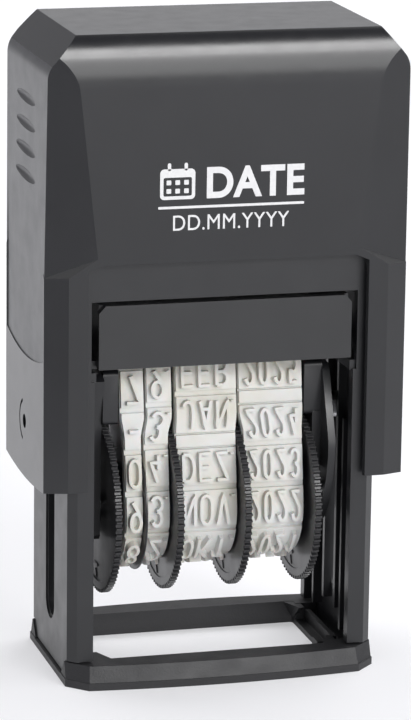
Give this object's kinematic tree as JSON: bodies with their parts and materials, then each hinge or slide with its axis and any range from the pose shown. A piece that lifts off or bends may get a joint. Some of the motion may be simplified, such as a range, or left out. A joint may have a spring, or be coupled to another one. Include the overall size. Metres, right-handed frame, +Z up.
{
  "type": "rotary date stamp",
  "caption": "Self-inking date stamp: pressing the hood flips the type carriage from the ink pad to the print window; thumb wheels turn day, month and year bands.",
  "frame": {"origin": "middle of the foot's underside, on the surface being stamped", "axes": "+X to the right along the printed line, +Y to the back, +Z up towards the palm"},
  "size_m": [0.044, 0.0256, 0.0783],
  "materials": {
    "hood_plastic": "glossy charcoal moulding with matt grip areas on its sides",
    "frame_plastic": "satin black moulding",
    "foot_plastic": "fine spark-eroded texture",
    "wheel_plastic": "satin black moulding with a ridged rim",
    "band_rubber": "matt off-white rubber",
    "steel": "bright drawn wire and turned pins",
    "ink_felt": "black-inked felt"
  },
  "bodies": {
    "frame": {"frame": "frame_plastic", "foot": "foot_plastic", "return_spring_left": "steel", "return_spring_right": "steel"},
    "pad": {"ink_tray": "frame_plastic", "ink_felt": "ink_felt"},
    "hood": {"hood_shell": "hood_plastic", "pivot_pin_left": "steel", "pivot_pin_right": "steel"},
    "carriage": {"carriage_frame": "frame_plastic", "type_bridge": "frame_plastic", "detent_spring": "steel", "wheel_axle": "steel", "axle_clip_left": "steel", "axle_clip_right": "steel", "divider_disc": "wheel_plastic", "band_day_tens": "band_rubber", "band_day_units": "band_rubber", "band_month": "band_rubber", "band_year": "band_rubber"},
    "day_tens_wheel": {"wheel_day_tens": "wheel_plastic"},
    "day_units_wheel": {"wheel_day_units": "wheel_plastic"},
    "month_wheel": {"wheel_month": "wheel_plastic"},
    "year_wheel": {"wheel_year": "wheel_plastic"}
  },
  "joints": [
    {"name": "hood_press", "type": "slide", "parent": "frame", "child": "hood", "axis": [0, 0, -1], "range_m": [0, 0.0205], "stiffness_N_per_m": 400, "springref_m": -0.02, "deforming": ["return_spring_left", "return_spring_right"]},
    {"name": "carriage_flip", "type": "hinge", "parent": "hood", "child": "carriage", "pos_m": [0, 0, 0.0304], "axis": [1, 0, 0], "range_deg": [0, 180]},
    {"name": "pad_slide", "type": "slide", "parent": "frame", "child": "pad", "axis": [0, 1, 0], "range_m": [-0.024, 0]},
    {"name": "turn_day_tens", "type": "hinge", "parent": "carriage", "child": "day_tens_wheel", "pos_m": [0, 0, 0.0195], "axis": [1, 0, 0], "continuous": true},
    {"name": "turn_day_units", "type": "hinge", "parent": "carriage", "child": "day_units_wheel", "pos_m": [0, 0, 0.0195], "axis": [1, 0, 0], "continuous": true},
    {"name": "turn_month", "type": "hinge", "parent": "carriage", "child": "month_wheel", "pos_m": [0, 0, 0.0195], "axis": [1, 0, 0], "continuous": true},
    {"name": "turn_year", "type": "hinge", "parent": "carriage", "child": "year_wheel", "pos_m": [0, 0, 0.0195], "axis": [1, 0, 0], "continuous": true}
  ],
  "couplings": [
    {"joint": "carriage_flip", "follows": "hood_press", "rad_per_m": 153.2}
  ]
}
